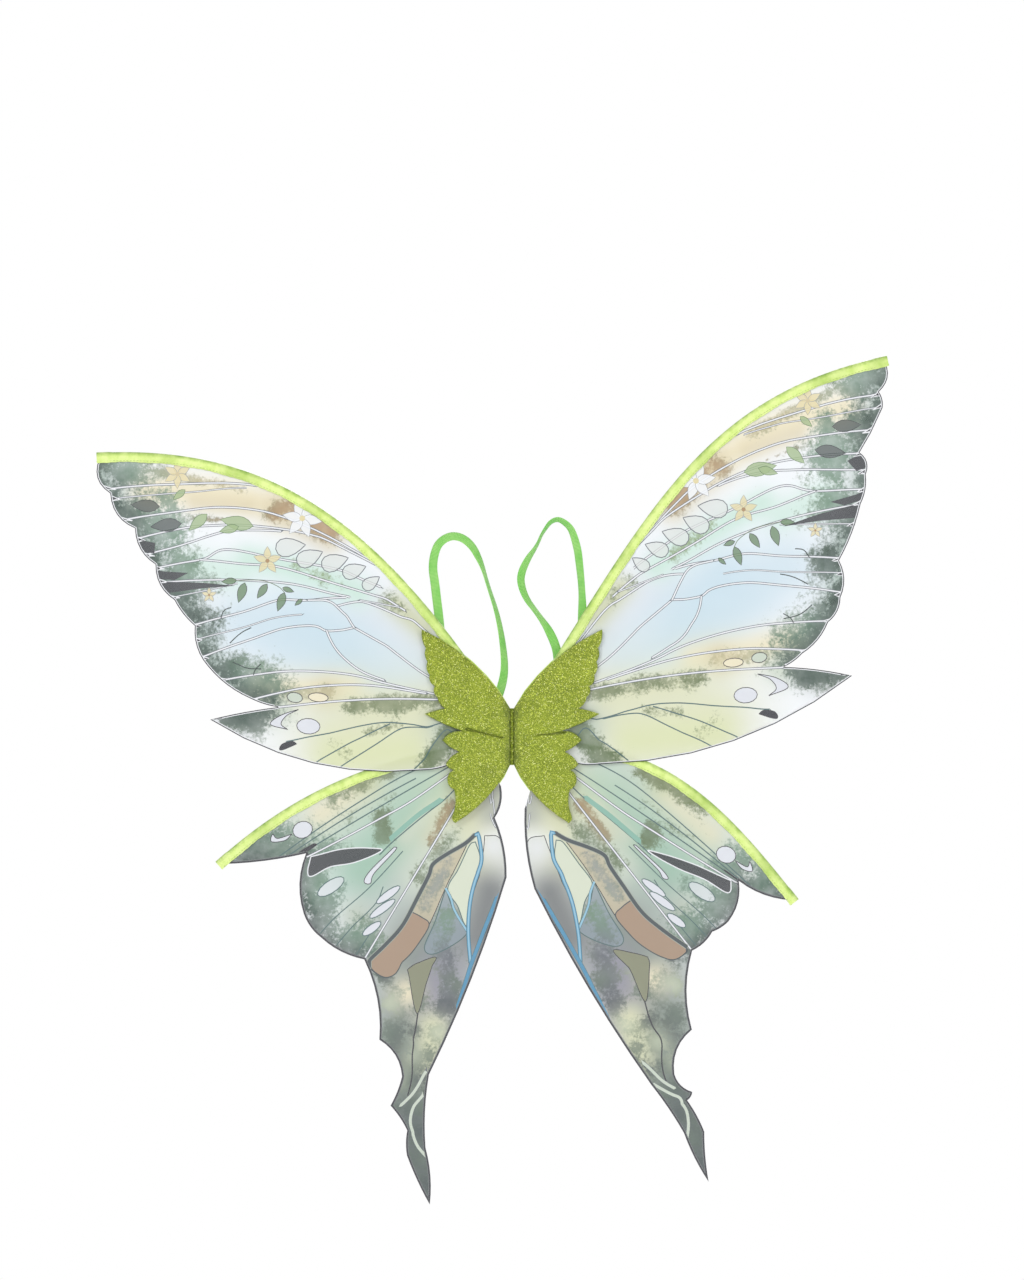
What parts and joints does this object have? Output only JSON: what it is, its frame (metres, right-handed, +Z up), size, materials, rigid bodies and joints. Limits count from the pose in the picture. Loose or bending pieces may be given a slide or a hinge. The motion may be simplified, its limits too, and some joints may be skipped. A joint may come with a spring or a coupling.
{
  "type": "fairy wings",
  "caption": "Wearable fairy wings: sheer cloth wings on sprung rods in tape casings, joined at a folding centre patch with elastic arm loops.",
  "frame": {"origin": "middle of the centre tape's back face, which lies against the wearer's back", "axes": "+Z up as worn, +X to the right seen from the glittered front, -Y out of the front, away from the wearer"},
  "size_m": [0.7112, 0.0133, 0.7628],
  "materials": {
    "wing_cloth": "sheer satin",
    "casing": "satin tape",
    "rod": "smooth",
    "rod_cap": "smooth",
    "thread": "twisted",
    "front_patch": "glitter",
    "lining": "felt",
    "elastic": "woven elastic",
    "tape": "twill tape"
  },
  "bodies": {
    "spine": {"centre_fold": "front_patch", "spine_tape": "tape"},
    "left_half": {"left_front_patch": "front_patch", "left_back_patch": "lining", "left_strap": "elastic", "left_strap_outer_tack": "thread", "left_strap_inner_tack": "thread"},
    "right_half": {"right_front_patch": "front_patch", "right_back_patch": "lining", "right_strap": "elastic", "right_strap_outer_tack": "thread", "right_strap_inner_tack": "thread"},
    "left_forewing": {"left_forewing_panel": "wing_cloth", "left_forewing_casing": "casing", "left_forewing_rod": "rod", "left_forewing_root_cap": "rod_cap", "left_forewing_tip_cap": "rod_cap", "left_forewing_casing_thread": "thread"},
    "right_forewing": {"right_forewing_panel": "wing_cloth", "right_forewing_casing": "casing", "right_forewing_rod": "rod", "right_forewing_root_cap": "rod_cap", "right_forewing_tip_cap": "rod_cap", "right_forewing_casing_thread": "thread"},
    "left_hindwing": {"left_hindwing_panel": "wing_cloth", "left_hindwing_casing": "casing", "left_hindwing_rod": "rod", "left_hindwing_root_cap": "rod_cap", "left_hindwing_tip_cap": "rod_cap", "left_hindwing_casing_thread": "thread"},
    "right_hindwing": {"right_hindwing_panel": "wing_cloth", "right_hindwing_casing": "casing", "right_hindwing_rod": "rod", "right_hindwing_root_cap": "rod_cap", "right_hindwing_tip_cap": "rod_cap", "right_hindwing_casing_thread": "thread"}
  },
  "joints": [
    {"name": "left_flap", "type": "hinge", "parent": "spine", "child": "left_half", "pos_m": [0, -0.0133, 0], "axis": [0, 0, 1], "range_deg": [0, 80]},
    {"name": "right_flap", "type": "hinge", "parent": "spine", "child": "right_half", "pos_m": [0, -0.0133, 0], "axis": [0, 0, -1], "range_deg": [0, 80]},
    {"name": "left_forewing_sweep", "type": "hinge", "parent": "left_half", "child": "left_forewing", "pos_m": [-0.0155, -0.0088, 0.0305], "axis": [0, 1, 0], "range_deg": [-6, 18]},
    {"name": "right_forewing_sweep", "type": "hinge", "parent": "right_half", "child": "right_forewing", "pos_m": [0.0155, -0.0088, 0.0305], "axis": [0, -1, 0], "range_deg": [-18, 6]},
    {"name": "left_hindwing_sweep", "type": "hinge", "parent": "left_half", "child": "left_hindwing", "pos_m": [-0.0155, -0.0059, -0.0055], "axis": [0, 1, 0], "range_deg": [0, 12]},
    {"name": "right_hindwing_sweep", "type": "hinge", "parent": "right_half", "child": "right_hindwing", "pos_m": [0.0155, -0.0059, -0.0055], "axis": [0, -1, 0], "range_deg": [-5, 8]}
  ]
}
